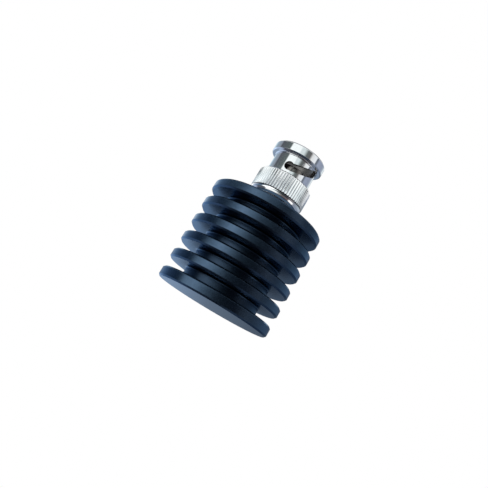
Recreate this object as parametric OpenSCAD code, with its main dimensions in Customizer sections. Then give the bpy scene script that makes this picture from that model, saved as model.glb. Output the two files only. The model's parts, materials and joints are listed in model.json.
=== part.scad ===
// Coaxial terminator: a bayonet plug on a round finned heat sink that holds the load resistor.
// It stands on its base face: origin at the centre of that face, +Z along the axis to the plug.

/* [Heat sink] */
// Diameter of the fins
fin_d = 30; // [26:0.5:40]
// Number of fins, the flat base fin included
fin_count = 6; // [6:1:9]
// Thickness of a fin
fin_t = 2.4; // [1.8:0.1:2.8]
// Thickness of the base fin
base_t = 2.7; // [2:0.1:5]
// Distance from one fin to the next
fin_pitch = 4.95; // [4.7:0.05:6]
// Diameter of the core between the fins
core_d = 20.4; // [17:0.2:22]
// Chamfer on the edges of a fin
fin_chamfer = 0.4; // [0.1:0.05:0.6]
// Radius where a fin runs into the core
fin_root_r = 0.4; // [0.2:0.05:0.8]

/* [Plug body] */
// Diameter of the body's thread in the heat sink
thread_d = 11; // [10:0.1:12.5]
// Length of that thread
thread_len = 6; // [4:0.2:8]
// Diameter of the collar that seats on the heat sink
collar_d = 13; // [12:0.2:14]
// Distance across the two spanner flats on the collar
collar_flats = 11.6; // [10.5:0.1:11.8]
// Height of the collar
collar_h = 2.1; // [1.6:0.1:3.4]
// Bare neck between the collar and the back of the nut
neck_gap = 0.65; // [0.5:0.05:2]
// Wall of the neck under the spring washers, round the foot of the outer contact
neck_wall = 0.46; // [0.4:0.02:0.6]
// Thickness of the flange that holds the nut
flange_t = 0.8; // [0.6:0.05:1.2]
// Bore for the insulators
body_bore_d = 7; // [6.4:0.1:7.2]

/* [Coupling nut] */
// Length of the nut
nut_len = 14.8; // [14:0.1:16]
// Length of the plain shoulder behind the knurl
rear_len = 1.4; // [1:0.05:1.8]
// Radius that the shoulder is rounded with
rear_round = 2.3; // [2:0.1:4]
// Distance from the nut's rear end to the groove of its retaining ring
nut_lip = 1.4; // [0.8:0.05:1.8]
// Wall of the nut under the knurl, outside the room for the washers
knurl_wall = 1.35; // [1.2:0.05:2]
// Length of the knurled band with its chamfers
knurl_len = 5.3; // [4.8:0.1:6]
// Number of knurl teeth
knurl_teeth = 62; // [40:1:72]
// Depth of the knurl teeth
knurl_depth = 0.3; // [0.15:0.05:0.35]
// Wall of the nut at its waist
waist_wall = 0.9; // [0.7:0.05:1.3]
// Wall of the nut at its front rim
rim_wall = 2.15; // [1.8:0.05:2.6]
// Length of the front rim
rim_len = 2.6; // [2:0.1:3]
// Room for the jack's barrel between the spring fingers and the nut's bore
barrel_room = 0.85; // [0.8:0.01:0.95]
// Distance that the nut can be pushed forward against its springs
nut_travel = 0.5; // [0.3:0.05:0.5]

/* [Bayonet slots] */
// Number of bayonet slots
slot_count = 2; // [2:1:3]
// Width of a slot, measured along the axis
slot_w = 2.2; // [2:0.05:2.4]
// Radius of the round pocket that a jack's stud drops into
pocket_r = 1.2; // [1.1:0.02:1.3]
// Distance from the front face back to the middle of the pocket
pocket_back = 5.92; // [5.7:0.02:6.1]
// Turn from the pocket to the entry, in degrees
slot_turn = 74; // [66:1:80]
// Direction of the first pocket, in degrees from +X
pocket_az = -104; // [-180:1:180]
// Depth of the entry grooves in the nut's bore
entry_depth = 0.72; // [0.65:0.02:0.8]

/* [Retaining parts] */
// Thickness of the split retaining ring
ring_t = 0.5; // [0.4:0.05:0.7]
// Opening of the split retaining ring, in degrees
ring_gap = 28; // [12:1:60]
// Depth of its groove in the nut
groove_depth = 0.42; // [0.3:0.02:0.5]
// Thickness of the thrust washer
thrust_t = 0.3; // [0.2:0.05:0.5]
// Sheet thickness of the spring washers
wave_t = 0.14; // [0.1:0.02:0.16]
// Number of waves round a spring washer
wave_count = 3; // [3:1:5]

/* [Contacts] */
// Outside diameter of the outer contact's spring fingers
finger_d = 8.1; // [8:0.02:8.2]
// Wall of the spring fingers
finger_wall = 0.5; // [0.4:0.02:0.6]
// Length of the outer contact in front of the flange
finger_reach = 6.1; // [5.6:0.1:6.6]
// Number of spring fingers
finger_count = 8; // [4:1:8]
// Direction of the first slit between two fingers, in degrees from +X
slit_az = -94; // [-180:1:180]
// Width of the slits between the fingers
finger_slit = 0.35; // [0.2:0.05:0.6]
// Diameter of the centre pin
pin_d = 1.35; // [1.3:0.01:1.4]
// Distance that the pin's tip stays behind the fingers' ends
pin_back = 0.3; // [0:0.1:0.8]
// Bore in the front insulator that takes the jack's insulator
socket_d = 4.85; // [4.6:0.05:5.1]
// Depth of that bore behind the fingers' ends
socket_depth = 5.4; // [4.6:0.1:6]
// Distance that the front insulator stays behind the fingers' ends
insulator_back = 1.2; // [0.6:0.1:2]
// Width of the sealing gasket's section
gasket_w = 0.84; // [0.7:0.02:0.96]
// Thickness of the sealing gasket
gasket_t = 0.8; // [0.6:0.05:1]

/* [Load] */
// Diameter of the resistor's ceramic rod
rod_d = 3.2; // [2.4:0.1:3.6]
// Length of the resistor's ceramic rod
rod_len = 12; // [9:0.5:12.5]
// Wall of the resistor's end caps
cap_wall = 0.25; // [0.15:0.05:0.35]
// Length of the resistor's end caps
cap_len = 2.4; // [1.6:0.1:3]
// Diameter of the lead on the front cap
lead_d = 0.9; // [0.6:0.05:1]
// Length of that lead
lead_len = 2.6; // [1.5:0.1:3.5]
// Diameter of the cavity in the heat sink
cavity_d = 9.2; // [8.8:0.1:9.6]
// Length of the split collet that grounds the resistor
collet_len = 5; // [4:0.1:6]

/* [Hidden] */
$fn = 128;

// Clearances
fit = 0.02;
seat = 0.04;
slip = 0.05;
stop_gap = 0.1;
through = 1;

// Heights from the base face up
base_extra = base_t - fin_t;
sink_h = base_extra + (fin_count - 1) * fin_pitch + fin_t;
thread_z = sink_h - thread_len;
nut_z = sink_h + collar_h + neck_gap;
knurl_z = nut_z + rear_len;
groove_z = nut_z + nut_lip;
groove_w = ring_t + 2 * fit;
wave_spare = 0.03;
wave_h = wave_t + nut_travel / 2 + wave_spare;
thrust_z = groove_z + groove_w + seat;
wave_rear_z = thrust_z + thrust_t + fit;
wave_front_z = wave_rear_z + wave_h + fit;
flange_z = wave_front_z + wave_h + fit;
flange_top = flange_z + flange_t;
step_z = flange_top + stop_gap;
nut_top = nut_z + nut_len;
rim_z = nut_top - rim_len;
waist_z = knurl_z + knurl_len;
pocket_z = nut_top - pocket_back;

// Radii of the outer contact, the gasket's seat and the neck
gasket_undercut = 0.22;
gasket_in = finger_d / 2 - gasket_undercut + fit;
contact_in = finger_d / 2 - finger_wall;
contact_foot_r = finger_d / 2 + gasket_undercut;
neck_r = contact_foot_r + fit + neck_wall;

// Radii of the nut and of what it runs on
washer_w = 0.93;
washer_in = neck_r + 2 * slip;
washer_out = washer_in + washer_w;
counterbore_r = washer_out + 2 * slip + fit;
flange_r = counterbore_r - 3 * slip;
nut_bore_r = finger_d / 2 + barrel_room;
knurl_r = counterbore_r + knurl_wall;
rear_r = knurl_r - knurl_depth / 2;
waist_r = nut_bore_r + waist_wall;
rim_r = nut_bore_r + rim_wall;
edge = 0.4;
blend = 0.25;

// Shape of the slots
slot_inner = nut_bore_r - 0.4;
entry_r = nut_bore_r + entry_depth;
half_entry = asin(slot_w / 2 / waist_r);
hump = 0.34;
front_slope = 0.42;

// Heights of the gasket's seat and of the outer contact
seat_depth = 0.4;
foot_len = 2;
seat_z = flange_top - seat_depth;
contact_z = seat_z - foot_len;
groove_top = seat_z + gasket_t + 4 * slip;
finger_top = flange_top + finger_reach;
slit_z = groove_top + 0.6;

// Load
collet_floor = 1;
rod_above = 0.4;
rod_top = thread_z + rod_above;
rod_z = rod_top - rod_len;
cap_r = rod_d / 2 + cap_wall + fit;
cap_z = rod_z - fit - cap_wall;
collet_z = cap_z - collet_floor;
sleeve_z = collet_z + collet_len + slip;

// Insulators and centre contact
tail_z = rod_top + cap_wall + slip;
split_below = 0.6;
insulator_r = min(body_bore_d / 2, contact_in) - slip;
tail_clear = 1.9;
insulator_z = tail_z + tail_clear;
shank_step = 0.3;
shank_r = pin_d / 2 + shank_step;
shoulder_r = shank_r + 0.5;
shoulder_h = 1;
split_z = contact_z - split_below;
socket_z = finger_top - socket_depth;
tail_r = shank_r + 0.2;

module heat_sink() {
    fin_r = fin_d / 2;
    core_r = core_d / 2;
    color([0.06, 0.08, 0.13])
    difference() {
        rotate_extrude() difference() {
            square([fin_r, sink_h]);
            for (i = [0 : fin_count - 2])
                translate([0, base_t + i * fin_pitch])
                    fin_gap(core_r, fin_r, fin_pitch - fin_t);
            for (i = [0 : fin_count - 1], end = [0, 1])
                translate([fin_r, i == 0 && end == 0 ? 0 : base_extra + i * fin_pitch + end * fin_t])
                    rotate(45) square(fin_chamfer * sqrt(2), center = true);
        }
        translate([0, 0, collet_z - fit]) cylinder(d = cavity_d, h = sink_h);
        translate([0, 0, thread_z]) cylinder(d = thread_d, h = thread_len + through);
    }
}

// Section of the space between two fins, with rounded corners at the core
module fin_gap(core_r, fin_r, gap) {
    translate([core_r + fin_root_r, 0]) square([fin_r, gap]);
    translate([core_r, fin_root_r]) square([fin_r, gap - 2 * fin_root_r]);
    for (z = [fin_root_r, gap - fin_root_r])
        translate([core_r + fin_root_r, z]) circle(r = fin_root_r, $fn = 32);
}

module connector_body() {
    color([0.74, 0.74, 0.76])
    difference() {
        union() {
            translate([0, 0, thread_z]) cylinder(r = thread_d / 2 - slip, h = thread_len);
            collar();
            translate([0, 0, sink_h]) cylinder(r = neck_r, h = flange_z - sink_h + fit);
            translate([0, 0, flange_z]) cylinder(r = flange_r, h = flange_t);
        }
        translate([0, 0, thread_z - through])
            cylinder(d = body_bore_d, h = flange_top - thread_z + 2 * through);
        translate([0, 0, contact_z])
            cylinder(r = contact_foot_r + fit, h = flange_top);
        translate([0, 0, seat_z])
            cylinder(r = gasket_in + gasket_w + slip, h = flange_t);
    }
}

// Round collar with two spanner flats and a chamfered upper edge
module collar() {
    intersection() {
        translate([0, 0, sink_h]) rotate_extrude() polygon([
            [0, 0], [collar_d / 2, 0], [collar_d / 2, collar_h - edge],
            [collar_d / 2 - edge, collar_h], [0, collar_h]]);
        translate([-collar_d, -collar_flats / 2, sink_h])
            cube([2 * collar_d, collar_flats, collar_h]);
    }
}

module outer_contact() {
    outer = finger_d / 2;
    tip = 0.2;
    color([0.8, 0.79, 0.76])
    difference() {
        rotate_extrude() polygon([
            [contact_in, contact_z + fit], [contact_foot_r, contact_z + fit],
            [contact_foot_r, seat_z], [gasket_in - fit, seat_z],
            [gasket_in - fit, groove_top], [outer, groove_top], [outer, finger_top - tip],
            [outer - tip, finger_top], [contact_in + tip / 2, finger_top],
            [contact_in, finger_top - tip]]);
        for (i = [0 : finger_count - 1])
            rotate(slit_az + i * 360 / finger_count)
                translate([contact_in - finger_wall, -finger_slit / 2, slit_z])
                    cube([3 * finger_wall, finger_slit, finger_top]);
    }
}

module coupling_nut() {
    color([0.78, 0.78, 0.8])
    difference() {
        union() {
            nut_front();
            knurl();
            nut_rear();
        }
        nut_hollow();
        for (i = [0 : slot_count - 1])
            rotate(pocket_az + i * 360 / slot_count) bayonet_slot();
        for (i = [0 : slot_count - 1])
            rotate(pocket_az + i * 360 / slot_count) slot_pocket();
        for (i = [0 : slot_count - 1])
            rotate(pocket_az + i * 360 / slot_count) entry_groove();
    }
}

// Waist and rim of the nut, turned, with a small radius in both corners
module nut_front() {
    bevel = 0.25;
    rotate_extrude() difference() {
        polygon([
            [0, waist_z - edge], [waist_r + blend, waist_z - edge], [waist_r + blend, rim_z],
            [rim_r - bevel, rim_z], [rim_r, rim_z + bevel], [rim_r, nut_top - edge],
            [rim_r - edge, nut_top], [0, nut_top]]);
        translate([waist_r + blend, waist_z + blend]) {
            circle(r = blend, $fn = 32);
            translate([-blend, 0]) square([2 * blend, rim_z - waist_z - 2 * blend]);
        }
        translate([waist_r + blend, rim_z - blend]) circle(r = blend, $fn = 32);
    }
}

// Straight knurl: sharp teeth all round, cut off by a chamfer at both ends, the rear one smaller
module knurl() {
    clear = 0.1;
    rear_edge = edge / 2;
    intersection() {
        translate([0, 0, knurl_z]) linear_extrude(knurl_len) polygon([
            for (i = [0 : 2 * knurl_teeth - 1])
                let (r = i % 2 == 0 ? knurl_r : knurl_r - knurl_depth, a = i * 180 / knurl_teeth)
                [r * cos(a), r * sin(a)]]);
        translate([0, 0, knurl_z]) rotate_extrude() polygon([
            [0, 0], [knurl_r - rear_edge, 0], [knurl_r + clear, rear_edge + clear],
            [knurl_r + clear, knurl_len - edge - clear], [knurl_r - edge, knurl_len], [0, knurl_len]]);
    }
}

// Plain shoulder behind the knurl, gently rounded towards the nut's rear end
module nut_rear() {
    lap = 0.15;
    rotate_extrude() intersection() {
        union() {
            translate([rear_r - rear_round, knurl_z]) circle(r = rear_round);
            translate([0, knurl_z]) square([rear_r, lap]);
        }
        translate([0, nut_z]) square([rear_r, rear_len + lap]);
    }
}

// Inside of the nut: room for the retaining parts, their groove, the bore and its lead-in
module nut_hollow() {
    lead_in = 0.5;
    rotate_extrude() polygon([
        [0, nut_z - through], [counterbore_r, nut_z - through], [counterbore_r, groove_z],
        [counterbore_r + groove_depth, groove_z],
        [counterbore_r + groove_depth, groove_z + groove_w],
        [counterbore_r, groove_z + groove_w], [counterbore_r, step_z], [nut_bore_r, step_z],
        [nut_bore_r, nut_top - lead_in], [nut_bore_r + lead_in, nut_top],
        [nut_bore_r + lead_in, nut_top + through], [0, nut_top + through]]);
}

// Front wall of a slot at an angle from its pocket: shallow beside the pocket, steeper to the entry
function slot_front(a) = let (t = a / slot_turn, low = pocket_z + pocket_r - hump)
    low + (rim_z - low) * (front_slope * t + (1 - front_slope) * t * t);

module bayonet_slot() {
    steps = 24;
    outer = waist_r + blend + 2 * slip;
    past = half_entry + 1.5;
    rim_cut = 0.12;
    points = [for (i = [0 : steps])
        let (a = i * (slot_turn + past) / steps, z = slot_front(a), top = min(z, rim_z + rim_cut),
            back = max(z - slot_w, pocket_z - 0.97 * pocket_r)) each [
            [slot_inner * cos(a), slot_inner * sin(a), back],
            [outer * cos(a), outer * sin(a), back],
            [outer * cos(a), outer * sin(a), top],
            [slot_inner * cos(a), slot_inner * sin(a), top]]];
    sides = [for (i = [0 : steps - 1], k = [0 : 3])
        let (n = (k + 1) % 4, here = 4 * i, next = here + 4) each [
            [here + k, here + n, next + n], [here + k, next + n, next + k]]];
    last = 4 * steps;
    ends = [[2, 1, 0], [3, 2, 0], [last, last + 1, last + 2], [last, last + 2, last + 3]];
    polyhedron(points = points, faces = concat(ends, sides), convexity = 4);
}

// Round pocket at the end of a slot, drilled from outside
module slot_pocket() {
    translate([slot_inner - slip, 0, pocket_z]) rotate([0, 90, 0])
        cylinder(r = pocket_r, h = waist_r + 2 * blend - slot_inner);
}

// Groove inside the rim that lets a jack's stud pass to the slot
module entry_groove() {
    foot = slot_w / 2;
    inner = slot_inner + slip;
    translate([0, 0, rim_z - foot]) rotate(slot_turn - half_entry)
        rotate_extrude(angle = 2 * half_entry)
            translate([inner, 0]) square([entry_r - inner, foot + rim_len + through]);
}

module retaining_ring() {
    inner = washer_in + slip;
    outer = counterbore_r + groove_depth - fit;
    color([0.55, 0.55, 0.57])
    translate([0, 0, groove_z + fit]) rotate(ring_gap / 2)
        rotate_extrude(angle = 360 - ring_gap)
            translate([inner, 0]) square([outer - inner, ring_t]);
}

module thrust_washer() {
    color([0.7, 0.7, 0.72])
    translate([0, 0, thrust_z]) rotate_extrude()
        translate([washer_in, 0]) square([washer_out - washer_in, thrust_t]);
}

module wave_washer_rear() {
    color([0.62, 0.6, 0.55]) translate([0, 0, wave_rear_z]) wave_washer(0);
}

module wave_washer_front() {
    color([0.62, 0.6, 0.55]) translate([0, 0, wave_front_z]) wave_washer(180);
}

// Flat spring ring whose height follows a sine round the axis
module wave_washer(phase) {
    steps = 16 * wave_count;
    swing = (wave_h - wave_t) / 2;
    points = [for (i = [0 : steps - 1])
        let (a = i * 360 / steps, z = swing * (1 + sin(wave_count * a + phase))) each [
            [washer_in * cos(a), washer_in * sin(a), z],
            [washer_out * cos(a), washer_out * sin(a), z],
            [washer_out * cos(a), washer_out * sin(a), z + wave_t],
            [washer_in * cos(a), washer_in * sin(a), z + wave_t]]];
    faces = [for (i = [0 : steps - 1], k = [0 : 3])
        let (n = (k + 1) % 4, next = 4 * ((i + 1) % steps))
        [4 * i + k, 4 * i + n, next + n, next + k]];
    polyhedron(points = points, faces = faces, convexity = 4);
}

module gasket() {
    corner = 0.15;
    color([0.75, 0.32, 0.2])
    translate([0, 0, seat_z]) rotate_extrude() polygon([
        [gasket_in, 0], [gasket_in + gasket_w, 0], [gasket_in + gasket_w, gasket_t - corner],
        [gasket_in + gasket_w - corner, gasket_t], [gasket_in + corner, gasket_t],
        [gasket_in, gasket_t - corner]]);
}

module center_contact() {
    pin_r = pin_d / 2;
    pin_top = finger_top - pin_back;
    nose = 0.7;
    color([0.85, 0.68, 0.3])
    difference() {
        rotate_extrude() polygon([
            [0, tail_z], [tail_r, tail_z], [tail_r, split_z - shoulder_h],
            [shoulder_r, split_z - shoulder_h], [shoulder_r, split_z], [shank_r, split_z],
            [shank_r, socket_z + fit], [pin_r, socket_z + fit], [pin_r, pin_top - nose],
            [pin_r * 0.45, pin_top - 0.1], [pin_r * 0.25, pin_top], [0, pin_top]]);
        translate([0, 0, tail_z - through]) cylinder(d = lead_d + 2 * fit, h = lead_len + through);
    }
}

module front_insulator() {
    color([0.93, 0.92, 0.88])
    difference() {
        translate([0, 0, split_z + fit])
            cylinder(r = insulator_r, h = finger_top - insulator_back - split_z);
        translate([0, 0, socket_z]) cylinder(d = socket_d, h = socket_depth);
        translate([0, 0, split_z - through]) cylinder(r = shank_r + fit, h = finger_top);
    }
}

module rear_insulator() {
    color([0.93, 0.92, 0.88])
    difference() {
        translate([0, 0, insulator_z]) cylinder(r = body_bore_d / 2 - slip, h = split_z - insulator_z);
        translate([0, 0, insulator_z - through]) cylinder(r = tail_r + fit, h = finger_top);
        translate([0, 0, split_z - shoulder_h]) cylinder(r = shoulder_r + fit, h = finger_top);
    }
}

module resistor_rod() {
    color([0.35, 0.3, 0.28])
    translate([0, 0, rod_z]) cylinder(d = rod_d, h = rod_len);
}

module resistor_front_cap() {
    color([0.8, 0.8, 0.78])
    union() {
        translate([0, 0, rod_top + fit + cap_wall]) mirror([0, 0, 1]) end_cap();
        translate([0, 0, rod_top + fit]) cylinder(d = lead_d, h = cap_wall + lead_len);
    }
}

module resistor_rear_cap() {
    color([0.8, 0.8, 0.78]) translate([0, 0, cap_z]) end_cap();
}

// Drawn cup that fits over one end of the resistor's rod
module end_cap() {
    difference() {
        cylinder(r = cap_r, h = cap_len);
        translate([0, 0, cap_wall]) cylinder(r = rod_d / 2 + fit, h = cap_len);
    }
}

// Outer conductor round the resistor: its bore narrows along a curve down to the grounded end
module matching_sleeve() {
    steps = 12;
    wide = body_bore_d / 2;
    narrow = cap_r + 0.3;
    height = thread_z - sleeve_z - fit;
    bore = [for (i = [0 : steps]) let (t = i / steps)
        [narrow * pow(wide / narrow, t), sleeve_z + t * height]];
    color([0.8, 0.66, 0.35])
    rotate_extrude() polygon(concat(bore, [
        [cavity_d / 2 - slip, sleeve_z + height], [cavity_d / 2 - slip, sleeve_z]]));
}

module ground_collet() {
    slit = 0.5;
    color([0.8, 0.66, 0.35])
    difference() {
        translate([0, 0, collet_z]) cylinder(r = cavity_d / 2 - slip, h = collet_len);
        translate([0, 0, cap_z]) cylinder(r = cap_r + fit, h = collet_len);
        for (a = [0, 90])
            rotate(a) translate([-cavity_d, -slit / 2, cap_z])
                cube([2 * cavity_d, slit, collet_len]);
    }
}

heat_sink();
connector_body();
outer_contact();
coupling_nut();
retaining_ring();
thrust_washer();
wave_washer_rear();
wave_washer_front();
gasket();
center_contact();
front_insulator();
rear_insulator();
resistor_rod();
resistor_front_cap();
resistor_rear_cap();
matching_sleeve();
ground_collet();
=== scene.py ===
"""Looks of a coaxial terminator: a nickel-plated bayonet plug on a black anodised, finned heat sink."""
import json
import math

import bmesh
import bpy
from mathutils import Matrix, Vector

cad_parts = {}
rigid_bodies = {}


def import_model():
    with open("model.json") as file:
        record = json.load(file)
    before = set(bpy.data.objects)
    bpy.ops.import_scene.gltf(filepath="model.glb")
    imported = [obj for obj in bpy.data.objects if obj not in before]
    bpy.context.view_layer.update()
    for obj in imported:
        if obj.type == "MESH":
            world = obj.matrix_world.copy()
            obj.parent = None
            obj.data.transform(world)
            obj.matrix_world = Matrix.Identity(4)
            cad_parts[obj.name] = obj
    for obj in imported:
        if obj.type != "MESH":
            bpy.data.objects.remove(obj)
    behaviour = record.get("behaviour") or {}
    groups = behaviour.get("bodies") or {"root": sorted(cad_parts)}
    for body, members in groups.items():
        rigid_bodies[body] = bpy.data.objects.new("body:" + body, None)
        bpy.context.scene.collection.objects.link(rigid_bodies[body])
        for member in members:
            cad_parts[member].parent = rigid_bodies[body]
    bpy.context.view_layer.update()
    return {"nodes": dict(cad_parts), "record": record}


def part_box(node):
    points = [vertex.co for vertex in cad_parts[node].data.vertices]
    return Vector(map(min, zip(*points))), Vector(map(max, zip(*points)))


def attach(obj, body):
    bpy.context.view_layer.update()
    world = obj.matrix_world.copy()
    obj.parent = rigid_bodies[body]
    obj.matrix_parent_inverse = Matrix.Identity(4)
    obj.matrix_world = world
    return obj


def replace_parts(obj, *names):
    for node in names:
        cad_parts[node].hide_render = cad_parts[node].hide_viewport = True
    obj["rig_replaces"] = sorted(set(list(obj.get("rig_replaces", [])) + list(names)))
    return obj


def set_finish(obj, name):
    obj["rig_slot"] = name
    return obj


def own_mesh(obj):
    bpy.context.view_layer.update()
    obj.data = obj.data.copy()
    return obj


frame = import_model()

MM = 0.001
TURN = 2 * math.pi

# Sizes of the part in millimetres, as in its construction
FIN_R = 15.0
FIN_COUNT = 6
FIN_T = 2.4
BASE_T = 2.7
FIN_PITCH = 4.95
CORE_R = 10.2
FIN_CHAMFER = 0.4
FIN_ROOT = 0.4
SINK_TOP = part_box("heat_sink")[1].z / MM
THREAD_R = 5.5
THREAD_LEN = 6.0
CAVITY_R = 4.6
CAVITY_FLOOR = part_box("ground_collet")[0].z / MM - 0.02

NUT_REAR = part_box("coupling_nut")[0].z / MM
NUT_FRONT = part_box("coupling_nut")[1].z / MM
KNURL_LEN = 5.3
KNURL_TEETH = 62
KNURL_R = 7.25
KNURL_DEPTH = 0.3
REAR_LEN = 1.4
REAR_ROUND = 2.3
WAIST_R = 5.8
RIM_R = 7.05
RIM_LEN = 2.6
BORE_R = 4.9
BORE_LEAD = 0.5
COUNTERBORE_R = 5.9
EDGE = 0.4
BLEND = 0.25
REAR_R = KNURL_R - KNURL_DEPTH / 2
KNURL_Z = NUT_REAR + REAR_LEN
RELIEF_R = REAR_R - 0.4
RELIEF_W = 0.26
GROOVE_Z = NUT_REAR + 1.4
GROOVE_W = 0.54
GROOVE_DEPTH = 0.42
STEP_Z = 34.28

SLOT_COUNT = 2
SLOT_W = 2.2
SLOT_TURN = 74.0
SLOT_HUMP = 0.34
SLOT_SLOPE = 0.42
POCKET_R = 1.2
POCKET_BACK = 5.92
POCKET_AZ = -104.0
ENTRY_DEPTH = 0.72


def fillet(corners, steps=4, hold=0.03):
    """Outline in millimetres whose corners, given as (r, z) or (r, z, radius), are rounded with arcs.

    A point beside each arc's ends, hold away, keeps the shading of the flats beside it flat.
    """
    arcs = []
    for i, corner in enumerate(corners):
        here = Vector(corner[:2])
        radius = corner[2] if len(corner) > 2 else 0
        if not radius:
            arcs.append([here])
            continue
        back = (Vector(corners[i - 1][:2]) - here).normalized()
        ahead = (Vector(corners[(i + 1) % len(corners)][:2]) - here).normalized()
        half = back.angle(ahead) / 2
        reach = radius / math.tan(half)
        centre = here + (back + ahead).normalized() * (radius / math.sin(half))
        start, end = here + back * reach, here + ahead * reach
        spokes = [(start - centre).lerp(end - centre, k / steps).normalized() for k in range(steps + 1)]
        arcs.append([centre + spoke * radius for spoke in spokes])
    outline = []
    for i, arc in enumerate(arcs):
        before = arcs[i - 1][-1] - arc[0]
        after = arcs[(i + 1) % len(arcs)][0] - arc[-1]
        if len(arc) > 1 and before.length > 4 * hold:
            outline.append(arc[0] + before.normalized() * hold)
        outline += arc
        if len(arc) > 1 and after.length > 4 * hold:
            outline.append(arc[-1] + after.normalized() * hold)
    return outline


def finish_mesh(mesh, sharp_degrees):
    mesh.polygons.foreach_set("use_smooth", [True] * len(mesh.polygons))
    mesh.set_sharp_from_angle(angle=math.radians(sharp_degrees))
    mesh.update()


def new_object(name, points, faces, sharp_degrees=30):
    """Mesh object made of points in millimetres, with outward faces."""
    mesh = bpy.data.meshes.new(name)
    mesh.from_pydata([(x * MM, y * MM, z * MM) for x, y, z in points], [], faces)
    shape = bmesh.new()
    shape.from_mesh(mesh)
    bmesh.ops.recalc_face_normals(shape, faces=shape.faces)
    shape.to_mesh(mesh)
    shape.free()
    finish_mesh(mesh, sharp_degrees)
    piece = bpy.data.objects.new(name, mesh)
    bpy.context.scene.collection.objects.link(piece)
    return piece


def lathe(name, outline, segments=256, radius=None, angles=None, sharp_degrees=30):
    """Turned solid. The outline is closed, or starts and ends on the axis.

    radius(r, z, angle) can shape the wall, and angles can give uneven steps round the axis.
    """
    angles = angles or [TURN * k / segments for k in range(segments)]
    segments = len(angles)
    points, faces, rings = [], [], []
    for r, z in outline:
        if r < 1e-9:
            rings.append([len(points)])
            points.append((0, 0, z))
            continue
        rings.append(list(range(len(points), len(points) + segments)))
        for angle in angles:
            wall = radius(r, z, angle) if radius else r
            points.append((wall * math.cos(angle), wall * math.sin(angle), z))
    on_axis = outline[0][0] < 1e-9 and outline[-1][0] < 1e-9
    pairs = len(rings) - 1 if on_axis else len(rings)
    for i in range(pairs):
        lower, upper = rings[i], rings[(i + 1) % len(rings)]
        for k in range(segments):
            n = (k + 1) % segments
            if len(lower) == 1:
                faces.append((lower[0], upper[n], upper[k]))
            elif len(upper) == 1:
                faces.append((lower[k], lower[n], upper[0]))
            else:
                faces.append((lower[k], lower[n], upper[n], upper[k]))
    return new_object(name, points, faces, sharp_degrees)


def box_piece(name, low, high):
    points = [(x, y, z) for z in (low[2], high[2]) for y in (low[1], high[1]) for x in (low[0], high[0])]
    faces = [(0, 2, 3, 1), (4, 5, 7, 6), (0, 1, 5, 4), (2, 6, 7, 3), (0, 4, 6, 2), (1, 3, 7, 5)]
    return new_object(name, points, faces)


def cut(piece, cutters, sharp_degrees=30):
    """Cuts the cutters out of the piece and deletes them."""
    for cutter in cutters:
        modifier = piece.modifiers.new("cut", "BOOLEAN")
        modifier.operation = "DIFFERENCE"
        modifier.solver = "EXACT"
        modifier.object = cutter
    bpy.context.view_layer.update()
    graph = bpy.context.evaluated_depsgraph_get()
    mesh = bpy.data.meshes.new_from_object(piece.evaluated_get(graph))
    piece.modifiers.clear()
    piece.data = mesh
    finish_mesh(mesh, sharp_degrees)
    for cutter in cutters:
        bpy.data.objects.remove(cutter)


def turned(points, z=0.0):
    """Rotated copies of points about the axis by an angle in degrees."""
    spin = Matrix.Rotation(math.radians(z), 3, "Z")
    return [tuple(spin @ Vector(p)) for p in points]


# Heat sink


def heat_sink():
    soft = 0.035
    corners = [(0, 0), (FIN_R - FIN_CHAMFER, 0, soft), (FIN_R, FIN_CHAMFER, soft)]
    base_extra = BASE_T - FIN_T
    for i in range(FIN_COUNT):
        top = base_extra + i * FIN_PITCH + FIN_T
        if i:
            corners += [(CORE_R, top - FIN_T, FIN_ROOT), (FIN_R - FIN_CHAMFER, top - FIN_T, soft),
                        (FIN_R, top - FIN_T + FIN_CHAMFER, soft)]
        corners += [(FIN_R, top - FIN_CHAMFER, soft), (FIN_R - FIN_CHAMFER, top, soft)]
        if i < FIN_COUNT - 1:
            corners.append((CORE_R, top, FIN_ROOT))
    thread_z = SINK_TOP - THREAD_LEN
    corners += [(THREAD_R, SINK_TOP), (THREAD_R, thread_z), (CAVITY_R, thread_z),
                (CAVITY_R, CAVITY_FLOOR), (0, CAVITY_FLOOR)]
    piece = lathe("heat_sink_turned", fillet(corners), segments=320)
    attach(piece, "root")
    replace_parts(piece, "heat_sink")
    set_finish(piece, "anodised")
    return piece


# Coupling nut


def knurl_wall(r, z, angle):
    """Radius of the nut's outer wall: the knurled band has straight flanks and rounded crests."""
    if r < KNURL_R - KNURL_DEPTH or not KNURL_Z + 0.01 < z < KNURL_Z + KNURL_LEN + 1e-6:
        return r
    crest = 0.15
    off = abs(2 * ((angle * KNURL_TEETH / TURN) % 1) - 1)
    drop = (math.hypot(off, crest) - crest) / (math.hypot(1, crest) - crest)
    return min(r, KNURL_R - KNURL_DEPTH * drop)


def knurl_angles():
    """Steps round the nut, closer together at the crest of each tooth."""
    steps = (0, 0.2, 0.35, 0.42, 0.47, 0.53, 0.58, 0.65, 0.8)
    return [TURN * (tooth + step) / KNURL_TEETH for tooth in range(KNURL_TEETH) for step in steps]


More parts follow.
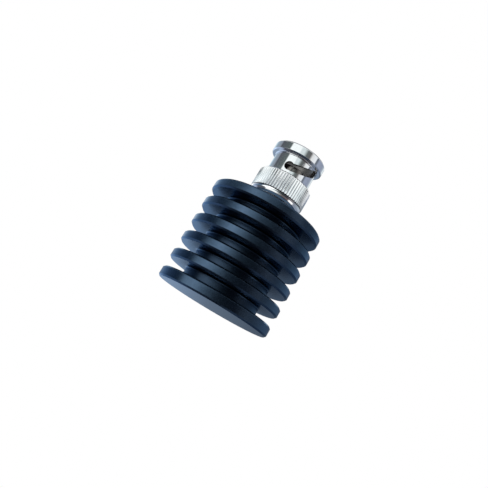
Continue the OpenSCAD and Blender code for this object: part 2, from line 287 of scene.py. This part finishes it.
def nut_outline():
    waist_z = KNURL_Z + KNURL_LEN
    rim_z = NUT_FRONT - RIM_LEN
    soft = 0.05
    bevel = 0.25
    centre = REAR_R - REAR_ROUND
    bend = math.asin(REAR_LEN / REAR_ROUND)
    rear = [(centre + REAR_ROUND * math.cos(turn), KNURL_Z - REAR_ROUND * math.sin(turn))
            for turn in (bend * (1 - k / 16) for k in range(17))]
    rear[0] += (0.08,)
    rear_bevel = 0.1
    relief = [(RELIEF_R, KNURL_Z), (RELIEF_R, KNURL_Z + RELIEF_W)]
    rear_end = [(KNURL_R - rear_bevel + rise, KNURL_Z + RELIEF_W + rise)
                for rise in (rear_bevel * k / 5 for k in range(6))]
    front_end = [KNURL_R - EDGE + EDGE * k / 6 for k in range(7)]
    front = [(r, waist_z - r + front_end[0]) for r in reversed(front_end)]
    corners = [(COUNTERBORE_R, NUT_REAR, soft)] + rear + relief + rear_end + front + [
        (WAIST_R, waist_z, BLEND), (WAIST_R, rim_z, BLEND), (RIM_R - bevel, rim_z, soft),
        (RIM_R, rim_z + bevel, soft), (RIM_R, NUT_FRONT - EDGE, 0.12), (RIM_R - EDGE, NUT_FRONT, 0.12),
        (BORE_R + BORE_LEAD, NUT_FRONT, soft), (BORE_R, NUT_FRONT - BORE_LEAD, soft),
        (BORE_R, STEP_Z, soft), (COUNTERBORE_R, STEP_Z), (COUNTERBORE_R, GROOVE_Z + GROOVE_W),
        (COUNTERBORE_R + GROOVE_DEPTH, GROOVE_Z + GROOVE_W), (COUNTERBORE_R + GROOVE_DEPTH, GROOVE_Z),
        (COUNTERBORE_R, GROOVE_Z)]
    return fillet(corners, steps=4)


def slot_front(angle):
    """Height of a slot's front wall at an angle in degrees from its pocket."""
    t = angle / SLOT_TURN
    low = NUT_FRONT - POCKET_BACK + POCKET_R - SLOT_HUMP
    return low + (NUT_FRONT - RIM_LEN - low) * (SLOT_SLOPE * t + (1 - SLOT_SLOPE) * t * t)


def slot_cutter(azimuth):
    """Helical slot from the pocket to the entry groove."""
    steps = 64
    inner, outer = BORE_R - 0.4, WAIST_R + BLEND + 0.1
    half_entry = math.degrees(math.asin(SLOT_W / 2 / WAIST_R))
    rim_z = NUT_FRONT - RIM_LEN
    pocket_z = NUT_FRONT - POCKET_BACK
    points = []
    for i in range(steps + 1):
        angle = i * (SLOT_TURN + half_entry + 1.5) / steps
        front = slot_front(angle)
        top = min(front, rim_z + 0.12)
        back = max(front - SLOT_W, pocket_z - 0.97 * POCKET_R)
        for r, z in ((inner, back), (outer, back), (outer, top), (inner, top)):
            points.append((r * math.cos(math.radians(angle)), r * math.sin(math.radians(angle)), z))
    faces = [(3, 2, 1, 0), tuple(4 * steps + k for k in range(4))]
    for i in range(steps):
        for k in range(4):
            n = (k + 1) % 4
            faces.append((4 * i + k, 4 * i + n, 4 * i + 4 + n, 4 * i + 4 + k))
    return new_object("slot_cutter", turned(points, azimuth), faces)


def pocket_cutter(azimuth):
    """Round pocket at the slot's end."""
    sides = 64
    inner, outer = BORE_R - 0.45, WAIST_R + 0.5
    pocket_z = NUT_FRONT - POCKET_BACK
    points = []
    for r in (inner, outer):
        for k in range(sides):
            angle = TURN * k / sides
            points.append((r, POCKET_R * math.cos(angle), pocket_z + POCKET_R * math.sin(angle)))
    faces = [tuple(range(sides)), tuple(range(sides, 2 * sides))]
    faces += [(k, (k + 1) % sides, sides + (k + 1) % sides, sides + k) for k in range(sides)]
    return new_object("pocket_cutter", turned(points, azimuth), faces)


def entry_cutter(azimuth):
    """Groove inside the rim that lets a stud pass to the slot."""
    steps = 24
    half_entry = math.degrees(math.asin(SLOT_W / 2 / WAIST_R))
    inner, outer = BORE_R - 0.35, BORE_R + ENTRY_DEPTH
    low, high = NUT_FRONT - RIM_LEN - SLOT_W / 2, NUT_FRONT + 1
    points = []
    for i in range(steps + 1):
        angle = math.radians(SLOT_TURN - half_entry + 2 * half_entry * i / steps)
        for r, z in ((inner, low), (outer, low), (outer, high), (inner, high)):
            points.append((r * math.cos(angle), r * math.sin(angle), z))
    faces = [(3, 2, 1, 0), tuple(4 * steps + k for k in range(4))]
    for i in range(steps):
        for k in range(4):
            n = (k + 1) % 4
            faces.append((4 * i + k, 4 * i + n, 4 * i + 4 + n, 4 * i + 4 + k))
    return new_object("entry_cutter", turned(points, azimuth), faces)


def coupling_nut():
    piece = lathe("coupling_nut_turned", nut_outline(), radius=knurl_wall, angles=knurl_angles())
    for i in range(SLOT_COUNT):
        azimuth = POCKET_AZ + 360 * i / SLOT_COUNT
        cut(piece, [slot_cutter(azimuth)])
        cut(piece, [pocket_cutter(azimuth)])
        cut(piece, [entry_cutter(azimuth)])
    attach(piece, "nut")
    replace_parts(piece, "coupling_nut")
    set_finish(piece, "nickel")
    return piece


# Plug body and contacts


FINGER_R = 4.05
FINGER_WALL = 0.5
FINGER_SLIT = 0.35
FINGER_COUNT = 8
SLIT_AZ = -94.0
FINGER_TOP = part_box("outer_contact")[1].z / MM
CONTACT_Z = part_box("outer_contact")[0].z / MM
CONTACT_FOOT_R = 4.27
FLANGE_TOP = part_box("connector_body")[1].z / MM
FLANGE_T = 0.8
FLANGE_R = 5.75
NECK_R = 4.75
COLLAR_R = 6.5
COLLAR_H = 2.1
COLLAR_FLATS = 11.6
BODY_BORE_R = 3.5
GASKET_IN, GASKET_OUT = 3.85, 4.69
SEAT_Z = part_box("gasket")[0].z / MM


def connector_body():
    soft = 0.06
    thread_r = THREAD_R - 0.05
    thread_z = SINK_TOP - THREAD_LEN
    flange_z = FLANGE_TOP - FLANGE_T
    corners = [(thread_r, thread_z), (thread_r, SINK_TOP), (COLLAR_R, SINK_TOP, soft),
               (COLLAR_R, SINK_TOP + COLLAR_H - EDGE, soft), (COLLAR_R - EDGE, SINK_TOP + COLLAR_H, soft),
               (NECK_R, SINK_TOP + COLLAR_H, 0.2), (NECK_R, flange_z, 0.05), (FLANGE_R, flange_z, soft),
               (FLANGE_R, FLANGE_TOP, soft), (GASKET_OUT + 0.05, FLANGE_TOP, soft),
               (GASKET_OUT + 0.05, SEAT_Z), (CONTACT_FOOT_R + 0.02, SEAT_Z),
               (CONTACT_FOOT_R + 0.02, CONTACT_Z - 0.02), (BODY_BORE_R, CONTACT_Z - 0.02),
               (BODY_BORE_R, thread_z)]
    piece = lathe("connector_body_turned", fillet(corners), segments=256)
    half, far, low, high = COLLAR_FLATS / 2, 8, SINK_TOP - 0.01, SINK_TOP + COLLAR_H + 0.3
    cut(piece, [box_piece("flat_cutter", (-far, half, low), (far, far, high)),
                box_piece("flat_cutter", (-far, -far, low), (far, -half, high))])
    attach(piece, "root")
    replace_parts(piece, "connector_body")
    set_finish(piece, "nickel")
    return piece


def outer_contact():
    tip = 0.2
    inner = FINGER_R - FINGER_WALL
    neck = GASKET_IN - 0.02
    groove_top = SEAT_Z + 1.0
    corners = [(inner, CONTACT_Z), (CONTACT_FOOT_R, CONTACT_Z), (CONTACT_FOOT_R, SEAT_Z), (neck, SEAT_Z),
               (neck, groove_top, 0.05), (FINGER_R, groove_top, 0.05), (FINGER_R, FINGER_TOP - tip, 0.1),
               (FINGER_R - tip, FINGER_TOP, 0.08), (inner + tip / 2, FINGER_TOP, 0.05),
               (inner, FINGER_TOP - tip, 0.05)]
    piece = lathe("outer_contact_turned", fillet(corners), segments=192)
    half = FINGER_SLIT / 2
    low, high = groove_top + 0.6, FINGER_TOP + 1
    cutters = []
    for i in range(FINGER_COUNT):
        cutter = box_piece("slit_cutter", (inner - 0.5, -half, low), (FINGER_R + 0.5, half, high))
        cutter.data.transform(Matrix.Rotation(math.radians(SLIT_AZ + 360 * i / FINGER_COUNT), 4, "Z"))
        cutters.append(cutter)
    cut(piece, cutters)
    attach(piece, "root")
    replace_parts(piece, "outer_contact")
    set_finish(piece, "contact_nickel")
    return piece


def gasket():
    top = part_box("gasket")[1].z / MM
    corners = [(GASKET_IN, SEAT_Z), (GASKET_OUT, SEAT_Z), (GASKET_OUT, top, 0.18), (GASKET_IN, top, 0.18)]
    piece = lathe("gasket_moulded", fillet(corners, steps=6), segments=192)
    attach(piece, "root")
    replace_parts(piece, "gasket")
    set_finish(piece, "silicone")
    return piece


PIN_R = 0.675
SHANK_R = 0.975
SOCKET_Z = FINGER_TOP - 5.4
SOCKET_R = 2.425
SPLIT_Z = CONTACT_Z - 0.62
INSULATOR_R = 3.45
LEAD_R = 0.47


def center_contact():
    low, top = (corner.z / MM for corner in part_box("center_contact"))
    shoulder_r, tail_r, shoulder_h = SHANK_R + 0.5, SHANK_R + 0.2, 1.0
    nose = 0.7
    lead_depth = 2.6
    corners = [(0, low + lead_depth), (LEAD_R, low + lead_depth), (LEAD_R, low), (tail_r, low, 0.05),
               (tail_r, SPLIT_Z - shoulder_h), (shoulder_r, SPLIT_Z - shoulder_h, 0.05),
               (shoulder_r, SPLIT_Z, 0.05), (SHANK_R, SPLIT_Z), (SHANK_R, SOCKET_Z + 0.02, 0.05),
               (PIN_R, SOCKET_Z + 0.02), (PIN_R, top - nose, 0.5), (PIN_R * 0.4, top - 0.06, 0.12), (0, top)]
    piece = lathe("center_contact_turned", fillet(corners, steps=6), segments=96)
    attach(piece, "root")
    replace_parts(piece, "center_contact")
    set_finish(piece, "gold")
    return piece


def front_insulator():
    low, top = (corner.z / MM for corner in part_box("front_insulator"))
    soft = 0.08
    hole = SHANK_R + 0.02
    corners = [(hole, low), (INSULATOR_R, low), (INSULATOR_R, top, soft), (SOCKET_R, top, soft),
               (SOCKET_R, SOCKET_Z, 0.1), (hole, SOCKET_Z, 0.05)]
    piece = lathe("front_insulator_turned", fillet(corners), segments=160)
    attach(piece, "root")
    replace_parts(piece, "front_insulator")
    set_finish(piece, "ptfe")
    return piece


# Spring washers, made wavy to fill their parts' heights and fixed in that shape; the real ones flatten as the nut
# is pushed forward

WASHER_IN, WASHER_OUT = 4.85, 5.78
WAVE_COUNT = 3
WAVE_T = 0.14


def wave_washer(node, phase):
    """Spring washer whose height follows a sine round the axis."""
    steps = 144
    low, high = (corner.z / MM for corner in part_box(node))
    swing = (high - low - WAVE_T) / 2
    points = []
    for k in range(steps):
        angle = TURN * k / steps
        z = low + swing * (1 + math.sin(WAVE_COUNT * angle + phase))
        for r, rise in ((WASHER_IN, 0), (WASHER_OUT, 0), (WASHER_OUT, WAVE_T), (WASHER_IN, WAVE_T)):
            points.append((r * math.cos(angle), r * math.sin(angle), z + rise))
    faces = []
    for i in range(steps):
        after = 4 * ((i + 1) % steps)
        for k in range(4):
            n = (k + 1) % 4
            faces.append((4 * i + k, 4 * i + n, after + n, after + k))
    piece = new_object(node + "_pressed", points, faces)
    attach(piece, "root")
    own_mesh(piece)
    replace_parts(piece, node)
    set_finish(piece, "spring_steel")
    return piece


# Materials


class Nodes:
    """A material's or the world's node tree, with short calls that make and join nodes."""

    def __init__(self, tree):
        self.tree = tree
        tree.nodes.clear()

    def add(self, kind, inputs=None, **settings):
        node = self.tree.nodes.new("ShaderNode" + kind)
        for key, value in settings.items():
            setattr(node, key, value)
        for key, value in (inputs or {}).items():
            self.put(node.inputs[key], value)
        return node

    def put(self, socket, value):
        if isinstance(value, bpy.types.NodeSocket):
            self.tree.links.new(value, socket)
        else:
            socket.default_value = value

    def math(self, operation, *values):
        node = self.add("Math", operation=operation)
        for socket, value in zip(node.inputs, values):
            self.put(socket, value)
        return node.outputs[0]

    def ramp(self, factor, stops, interpolation="LINEAR"):
        node = self.add("ValToRGB", {"Fac": factor})
        node.color_ramp.interpolation = interpolation
        elements = node.color_ramp.elements
        while len(elements) < len(stops):
            elements.new(0.5)
        for element, (position, color) in zip(elements, stops):
            element.position = position
            element.color = color if len(color) == 4 else (*color, 1)
        return node.outputs["Color"]

    def bands(self, share, stops):
        return self.ramp(share, [(degrees / 360 + 0.5, color) for degrees, color in stops])

    def spread(self, value, low, high):
        """The value, from 0 to 1, spread over low to high."""
        node = self.add("MapRange", {"Value": value, "To Min": low, "To Max": high})
        return node.outputs[0]


def new_material(name):
    material = bpy.data.materials.new(name)
    material.use_nodes = True
    return material, Nodes(material.node_tree)


def radius_at(nodes):
    """Distance from the part's axis, in metres."""
    part = nodes.add("SeparateXYZ", {"Vector": nodes.add("TexCoord").outputs["Object"]})
    squares = nodes.math("POWER", part.outputs["X"], 2.0), nodes.math("POWER", part.outputs["Y"], 2.0)
    return nodes.math("SQRT", nodes.math("ADD", *squares)), part.outputs["Z"]


def turning(nodes, pitch):
    """Noise that runs round the axis, like a lathe tool's marks, about pitch millimetres apart."""
    r, z = radius_at(nodes)
    rz = nodes.add("CombineXYZ", {"X": r, "Y": z})
    marks = nodes.add("TexNoise", {"Vector": rz.outputs[0], "Scale": 1 / (pitch * MM), "Detail": 3.0,
                                   "Roughness": 0.6}, noise_dimensions="3D")
    return marks.outputs["Fac"]


def speckle(nodes, size, detail=3.0):
    """Even noise with grains about size millimetres across."""
    place = nodes.add("TexCoord").outputs["Object"]
    return nodes.add("TexNoise", {"Vector": place, "Scale": 1 / (size * MM), "Detail": detail}).outputs["Fac"]


def metal(name, dark, light, roughness, pitch=0.15, bump=0.1, tint=None, painted_shade_zones=()):
    """Metal whose colour and roughness vary a little, with turning marks in its surface.

    A painted shade zone gets a darker colour that stands in for shade, and a rougher finish, inside a radius and
    between two heights, in millimetres.
    """
    material, nodes = new_material(name)
    marks = turning(nodes, pitch)
    grains = speckle(nodes, 0.6)
    color = nodes.ramp(grains, [(0.3, dark), (0.7, light)])
    rough = nodes.spread(grains, roughness * 0.85, roughness * 1.15)
    # Each zone paints shade into the colour inside its radius and heights.
    for shade_zone in painted_shade_zones:
        r, z = radius_at(nodes)
        edge = shade_zone["radius"] * MM
        reach = {"Value": r, "From Min": edge, "From Max": edge + shade_zone["fade"] * MM, "To Min": 1.0, "To Max": 0.0}
        inside = nodes.add("MapRange", reach, interpolation_type="SMOOTHSTEP").outputs[0]
        above = nodes.math("GREATER_THAN", z, shade_zone["low"] * MM)
        below = nodes.math("LESS_THAN", z, shade_zone["high"] * MM)
        inside = nodes.math("MULTIPLY", inside, nodes.math("MULTIPLY", above, below))
        blend = {"Fac": inside, "Color1": color, "Color2": (*shade_zone["color"], 1)}
        color = nodes.add("MixRGB", blend).outputs[0]
        rough = nodes.math("ADD", rough, nodes.math("MULTIPLY", inside, shade_zone["rougher"]))
    surface = {"Height": marks, "Strength": bump, "Distance": 0.02 * MM}
    normal = nodes.add("Bump", surface).outputs[0]
    shader = nodes.add("BsdfPrincipled", {"Base Color": color, "Metallic": 1.0, "Roughness": rough,
                                          "Normal": normal})
    if tint:
        shader.inputs["Specular Tint"].default_value = (*tint, 1)
    output = nodes.add("OutputMaterial")
    nodes.put(output.inputs["Surface"], shader.outputs[0])
    return material


def matte(name, dark, light, roughness, grain, bump, subsurface=0.0, turned_marks=False):
    """Plastic, rubber or ceramic with fine grain."""
    material, nodes = new_material(name)
    grains = speckle(nodes, grain)
    height = turning(nodes, 0.2) if turned_marks else grains
    color = nodes.ramp(speckle(nodes, grain * 4), [(0.3, dark), (0.7, light)])
    rough = nodes.spread(grains, roughness * 0.85, roughness * 1.15)
    normal = nodes.add("Bump", {"Height": height, "Strength": bump, "Distance": 0.02 * MM}).outputs[0]
    shader = nodes.add("BsdfPrincipled", {"Base Color": color, "Roughness": rough, "Normal": normal})
    if subsurface:
        shader.inputs["Subsurface Weight"].default_value = subsurface
        shader.inputs["Subsurface Scale"].default_value = 0.5 * MM
    output = nodes.add("OutputMaterial")
    nodes.put(output.inputs["Surface"], shader.outputs[0])
    return material


# Painted shade: the anodised colour is darker between the fins, where they shade each other. The nickel is
# painted darker and rougher in the nut's bore and in the groove between the knurl and the shoulder, where shade
# falls.
# Painted shade between the fins: darker anodised colour inside the fin roots.
FIN_GAP_SHADE = {"radius": 11.2, "fade": 3.2, "low": 1.0, "high": SINK_TOP - 0.2,
            "color": (0.024, 0.039, 0.062), "rougher": 0.04}
# Painted shade inside the nut's bore and slot walls: darker, duller nickel.
NUT_BORE_SHADE = {"radius": 5.3, "fade": 0.4, "low": 0.0, "high": NUT_FRONT - BORE_LEAD,
            "color": (0.15, 0.14, 0.135), "rougher": 0.25}
# Painted shade in the groove between the knurl and the shoulder.
NUT_RELIEF_SHADE = {"radius": 6.85, "fade": 0.08, "low": KNURL_Z + 0.02, "high": KNURL_Z + RELIEF_W + 0.02,
              "color": (0.06, 0.06, 0.065), "rougher": 0.3}

MATERIALS = {
    "anodised": metal("anodised", (0.045, 0.073, 0.114), (0.055, 0.088, 0.136), 0.20, pitch=0.25, bump=0.10,
                      tint=(0.68, 0.81, 0.97), painted_shade_zones=[FIN_GAP_SHADE]),
    "nickel": metal("nickel", (0.80, 0.80, 0.80), (0.86, 0.86, 0.87), 0.055, pitch=0.3, bump=0.03,
                    painted_shade_zones=[NUT_BORE_SHADE, NUT_RELIEF_SHADE]),
    # The outer contact's nickel is far darker than the nut's: partly its duller plating, mostly painted shade
    # from the nut round it.
    "contact_nickel": metal("contact_nickel", (0.17, 0.155, 0.145), (0.23, 0.21, 0.19), 0.2, bump=0.05),
    "spring_steel": metal("spring_steel", (0.42, 0.41, 0.39), (0.52, 0.5, 0.47), 0.25, bump=0.05),
    "gold": metal("gold", (0.86, 0.6, 0.22), (0.92, 0.68, 0.3), 0.15, bump=0.05),
    "brass": metal("brass", (0.66, 0.47, 0.18), (0.74, 0.54, 0.24), 0.22, bump=0.08),
    "silicone": matte("silicone", (0.42, 0.09, 0.045), (0.5, 0.12, 0.06), 0.55, 0.1, 0.05),
    "ptfe": matte("ptfe", (0.78, 0.77, 0.73), (0.84, 0.83, 0.79), 0.4, 0.2, 0.08, subsurface=0.3,
                  turned_marks=True),
    "resistor_film": matte("resistor_film", (0.09, 0.065, 0.055), (0.12, 0.085, 0.07), 0.5, 0.1, 0.1),
}


def dress(piece, slot):
    piece.data.materials.clear()
    piece.data.materials.append(MATERIALS[slot])


for build in (heat_sink, coupling_nut, connector_body, outer_contact, gasket, center_contact, front_insulator):
    made = build()
    dress(made, made["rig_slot"])
dress(wave_washer("wave_washer_rear", 0), "spring_steel")
dress(wave_washer("wave_washer_front", math.pi), "spring_steel")
replaced = {node for piece in bpy.data.objects for node in piece.get("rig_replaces", [])}
for row in frame["record"]["subparts"]:
    if row["node"] not in replaced:
        dress(frame["nodes"][row["node"]], row["material_slot"])


# Floor, world and lamps


def floor():
    """Pale floor that shows from above with the part's shadow, and can't be seen from below."""
    size = 3000
    piece = new_object("floor", [(-size, -size, 0), (size, -size, 0), (size, size, 0), (-size, size, 0)],
                       [(0, 1, 2, 3)])
    piece.location.z = -0.05 * MM
    material, nodes = new_material("floor_paper")
    grains = speckle(nodes, 1.5)
    color = nodes.ramp(grains, [(0.3, (0.86, 0.86, 0.86)), (0.7, (0.9, 0.9, 0.9))])
    paper = nodes.add("BsdfDiffuse", {"Color": color})
    clear = nodes.add("BsdfTransparent")
    seen = nodes.add("LightPath").outputs["Is Camera Ray"]
    above = nodes.math("SUBTRACT", 1.0, nodes.add("NewGeometry").outputs["Backfacing"])
    mix = nodes.add("MixShader", {"Fac": nodes.math("MULTIPLY", seen, above)})
    nodes.put(mix.inputs[1], clear.outputs[0])
    nodes.put(mix.inputs[2], paper.outputs[0])
    output = nodes.add("OutputMaterial")
    nodes.put(output.inputs["Surface"], mix.outputs[0])
    piece.data.materials.append(material)


# Studio round the part. Each row of bands gives colours by direction in degrees from the front, positive to
# the right, at one height, from below the horizon up.
DEEP_BANDS = [(-180, (0.26, 0.34, 0.46)), (-165, (0.32, 0.42, 0.58)), (-140, (0.5, 0.64, 0.85)),
              (-115, (0.4, 0.48, 0.66)), (-100, (0.1, 0.11, 0.14)), (-60, (0.05, 0.05, 0.06)),
              (60, (0.04, 0.035, 0.04)), (84, (0.24, 0.28, 0.36)), (130, (0.14, 0.18, 0.26)),
              (165, (0.1, 0.13, 0.19)), (180, (0.26, 0.34, 0.46))]
LOW_BANDS = [(-180, (0.25, 0.3, 0.36)), (-174, (0.52, 0.66, 0.84)), (-165, (0.62, 0.78, 1.0)),
             (-140, (0.7, 0.9, 1.2)), (-115, (0.42, 0.5, 0.68)), (-100, (0.1, 0.11, 0.14)),
             (-66, (0.1, 0.11, 0.13)), (-57, (1.15, 1.2, 1.2)), (-14, (1.1, 1.15, 1.15)),
             (-2, (0.4, 0.42, 0.42)), (14, (0.15, 0.13, 0.13)), (44, (0.16, 0.12, 0.13)),
             (51, (1.25, 1.25, 1.25)), (70, (1.25, 1.25, 1.25)), (78, (0.26, 0.3, 0.38)),
             (110, (0.28, 0.34, 0.44)), (140, (0.14, 0.18, 0.24)), (160, (0.12, 0.14, 0.17)),
             (174, (0.16, 0.19, 0.23)), (180, (0.25, 0.3, 0.36))]
EDGE_BANDS = [(-180, (0.3, 0.33, 0.38)), (-160, (0.36, 0.42, 0.5)), (-150, (0.52, 0.62, 0.75)),
              (-135, (0.5, 0.62, 0.8)), (-115, (0.2, 0.29, 0.42)), (-95, (0.1, 0.17, 0.26)),
              (-82, (0.16, 0.22, 0.28)), (-70, (1.9, 2.0, 2.0)), (-52, (2.1, 2.15, 2.15)),
              (-34, (0.6, 0.68, 0.7)), (-14, (0.09, 0.11, 0.12)), (0, (0.015, 0.025, 0.035)),
              (44, (0.02, 0.025, 0.04)), (64, (0.17, 0.17, 0.19)), (90, (0.34, 0.38, 0.44)),
              (120, (0.42, 0.5, 0.6)), (140, (0.24, 0.28, 0.34)), (165, (0.16, 0.18, 0.22)),
              (180, (0.3, 0.33, 0.38))]
MIDDLE_BANDS = [(-180, (0.16, 0.18, 0.22)), (-172, (0.24, 0.27, 0.32)), (-162, (0.9, 0.95, 1.0)),
                (-155, (1.5, 1.52, 1.5)), (-146, (1.15, 1.18, 1.2)),
                (-132, (0.6, 0.68, 0.8)), (-112, (0.32, 0.37, 0.48)), (-98, (0.07, 0.11, 0.17)),
                (-76, (0.08, 0.12, 0.17)), (-58, (0.9, 1.0, 1.05)), (-42, (2.4, 2.45, 2.45)),
                (-24, (1.3, 1.4, 1.4)), (-4, (0.16, 0.18, 0.19)), (14, (0.05, 0.06, 0.06)),
                (36, (0.06, 0.06, 0.07)), (62, (0.36, 0.34, 0.36)), (82, (0.19, 0.22, 0.27)),
                (110, (0.4, 0.5, 0.58)), (135, (0.5, 0.58, 0.68)), (150, (0.26, 0.29, 0.34)),
                (168, (0.16, 0.18, 0.21)), (180, (0.16, 0.18, 0.22))]
KNURL_BANDS = [(-180, (0.1, 0.11, 0.13)), (-168, (0.4, 0.46, 0.48)), (-150, (0.7, 0.8, 0.82)),
               (-110, (0.82, 0.94, 0.97)), (-78, (1.05, 1.2, 1.22)), (-30, (0.95, 1.05, 1.07)),
               (0, (0.85, 0.95, 0.98)), (20, (0.46, 0.51, 0.54)), (42, (0.38, 0.42, 0.46)),
               (62, (0.34, 0.38, 0.42)), (78, (0.22, 0.25, 0.28)), (100, (0.08, 0.09, 0.11)),
               (140, (0.04, 0.05, 0.06)), (165, (0.2, 0.23, 0.26)), (180, (0.1, 0.11, 0.13))]
HIGH_BANDS = [(-180, (0.2, 0.24, 0.3)), (-168, (0.7, 0.86, 0.95)), (-158, (0.7, 0.86, 0.95)), (-140, (0.34, 0.44, 0.54)),
              (-112, (0.28, 0.32, 0.38)), (-104, (0.1, 0.11, 0.13)), (-80, (0.11, 0.13, 0.14)),
              (-58, (0.13, 0.16, 0.16)), (-53, (1.1, 1.17, 1.17)), (-15, (1.1, 1.17, 1.17)),
              (-8, (0.76, 0.84, 0.86)), (4, (0.76, 0.86, 0.87)), (18, (0.14, 0.16, 0.16)),
              (34, (0.14, 0.14, 0.14)), (44, (0.88, 0.9, 0.9)), (66, (0.95, 1.0, 1.05)),
              (70, (0.14, 0.16, 0.2)), (76, (0.17, 0.2, 0.25)), (84, (0.34, 0.39, 0.51)),
              (120, (0.3, 0.35, 0.46)), (134, (0.46, 0.52, 0.6)), (150, (0.9, 1.0, 1.03)),
              (157, (0.9, 1.0, 1.03)), (164, (0.2, 0.24, 0.3)), (180, (0.2, 0.24, 0.3))]
CEILING_BANDS = [(-180, (0.16, 0.18, 0.2)), (-142, (0.16, 0.18, 0.2)), (-128, (1.3, 1.32, 1.32)),
                 (128, (1.3, 1.32, 1.32)), (142, (0.16, 0.18, 0.2)), (180, (0.16, 0.18, 0.2))]
OVERHEAD = [(0, (0.45, 0.47, 0.5)), (180, (0.45, 0.47, 0.5))]


def studio():
    world = bpy.data.worlds.new("studio")
    bpy.context.scene.world = world
    world.use_nodes = True
    nodes = Nodes(world.node_tree)
    way = nodes.add("SeparateXYZ", {"Vector": nodes.add("TexCoord").outputs["Generated"]})
    turn = nodes.math("ARCTAN2", way.outputs["X"], nodes.math("MULTIPLY", way.outputs["Y"], -1.0))
    share = nodes.math("ADD", nodes.math("DIVIDE", turn, TURN), 0.5)
    walls = nodes.bands(share, DEEP_BANDS)
    rows = ((LOW_BANDS, -0.37, -0.31), (EDGE_BANDS, -0.04, 0.04), (MIDDLE_BANDS, 0.09, 0.2),
            (KNURL_BANDS, 0.29, 0.3), (HIGH_BANDS, 0.334, 0.342), (CEILING_BANDS, 0.42, 0.55),
            (OVERHEAD, 0.75, 0.9))
    for stops, low, high in rows:
        height = nodes.add("MapRange", {"Value": way.outputs["Z"], "From Min": low, "From Max": high},
                           interpolation_type="SMOOTHSTEP").outputs[0]
        row = nodes.bands(share, stops)
        walls = nodes.add("MixRGB", {"Fac": height, "Color1": walls, "Color2": row}).outputs[0]
    path = nodes.add("LightPath")
    even = nodes.add("Background", {"Color": (0.74, 0.76, 0.8, 1)})
    mirrored = nodes.add("Background", {"Color": walls})
    white = nodes.add("Background", {"Color": (1, 1, 1, 1)})
    sharp = nodes.math("MAXIMUM", path.outputs["Is Glossy Ray"], path.outputs["Is Transmission Ray"])
    light = nodes.add("MixShader", {"Fac": sharp})
    nodes.put(light.inputs[1], even.outputs[0])
    nodes.put(light.inputs[2], mirrored.outputs[0])
    seen = nodes.add("MixShader", {"Fac": path.outputs["Is Camera Ray"]})
    nodes.put(seen.inputs[1], light.outputs[0])
    nodes.put(seen.inputs[2], white.outputs[0])
    output = nodes.add("OutputWorld")
    nodes.put(output.inputs["Surface"], seen.outputs[0])


def lamp(name, place, size, power):
    """Soft square lamp at a place in millimetres, aimed at the middle of the part."""
    light = bpy.data.lights.new(name, "AREA")
    light.size = size * MM
    light.energy = power
    piece = bpy.data.objects.new(name, light)
    piece.location = Vector(place) * MM
    aim = Vector((0, 0, 22 * MM)) - piece.location
    piece.rotation_euler = aim.to_track_quat("-Z", "Y").to_euler()
    piece.visible_glossy = False
    bpy.context.scene.collection.objects.link(piece)


floor()
studio()
lamp("key", (-260, -300, 320), 260, 0.9)
lamp("fill", (320, -120, 240), 300, 0.35)


# Camera, fitted to the photograph's 488 by 488 pixels

PHOTO_SIZE = 488
FOCAL_PX = 531.76
CAMERA_BELOW = math.radians(11.528)
CAMERA_ROLL = math.radians(30.857)
CAMERA_DISTANCE = 132.23
CAMERA_AIM = (-0.991, 0, 17.447)
SENSOR = 36.0


def camera():
    lens = bpy.data.cameras.new("camera")
    lens.sensor_width = SENSOR
    lens.lens = FOCAL_PX / PHOTO_SIZE * SENSOR
    lens.clip_start = 0.005
    piece = bpy.data.objects.new("camera", lens)
    back = Vector((0, -math.cos(CAMERA_BELOW), -math.sin(CAMERA_BELOW)))
    right = Vector((1, 0, 0))
    up = back.cross(right)
    spin = Matrix.Rotation(CAMERA_ROLL, 3, back)
    place = (Vector(CAMERA_AIM) + back * CAMERA_DISTANCE) * MM
    axes = Matrix((spin @ right, spin @ up, back)).transposed()
    piece.matrix_world = Matrix.Translation(place) @ axes.to_4x4()
    bpy.context.scene.collection.objects.link(piece)
    bpy.context.scene.camera = piece


camera()
bpy.context.scene.view_settings.view_transform = "Standard"
